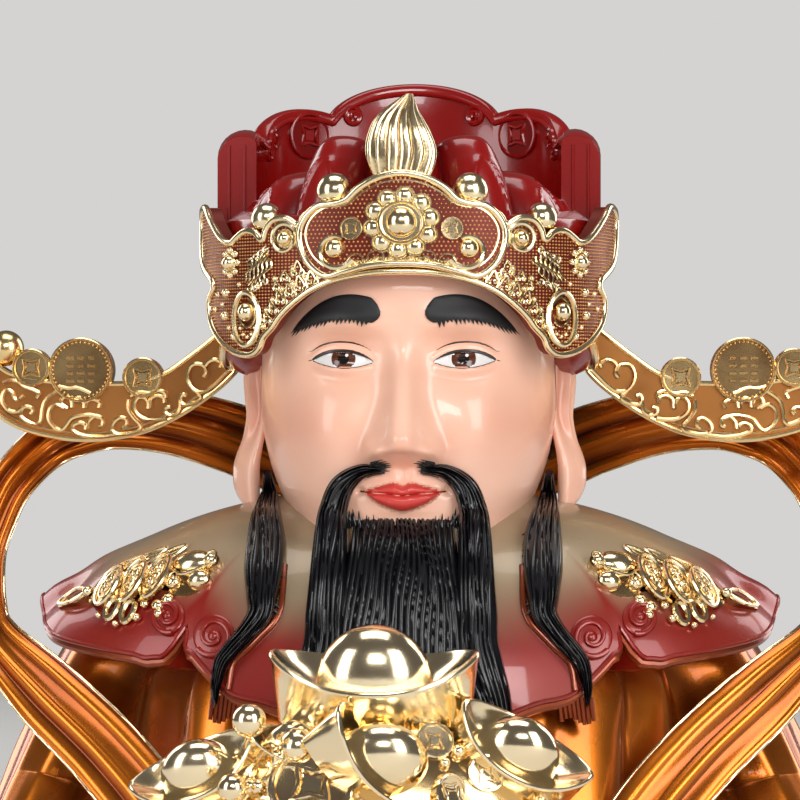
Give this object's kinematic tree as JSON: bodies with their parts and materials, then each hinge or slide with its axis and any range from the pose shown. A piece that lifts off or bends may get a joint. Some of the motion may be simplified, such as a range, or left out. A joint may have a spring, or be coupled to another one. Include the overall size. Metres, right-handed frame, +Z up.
{
  "type": "caishen figure",
  "caption": "Painted and gilded resin bust of a god of wealth in a winged court hat, with a long beard, a flying scarf and a heap of gold ingots.",
  "frame": {"origin": "middle of the flat underside, under the neck", "axes": "+Z up; the figure faces -Y; +X toward the viewer's right as the front is seen"},
  "size_m": [0.3366, 0.2221, 0.2905],
  "materials": {
    "robe": "copper-orange lacquer on cast resin, golden on the ridges and dark red in the folds",
    "collar": "pearl beige at the neck sprayed to glossy red at the lobes",
    "skin": "satin flesh paint with darker creases",
    "hair": "glossy black paint on combed strands",
    "hat": "deep transparent red lacquer",
    "scarf": "golden-orange metallic lacquer, darker in the folds",
    "wing": "copper ground with gilt relief",
    "gold": "polished pale gilding"
  },
  "bodies": {
    "root": {"figure": "robe", "scarf": "scarf", "hat_wing_left": "wing", "hat_wing_right": "wing", "ingot_heap": "gold"}
  },
  "joints": []
}
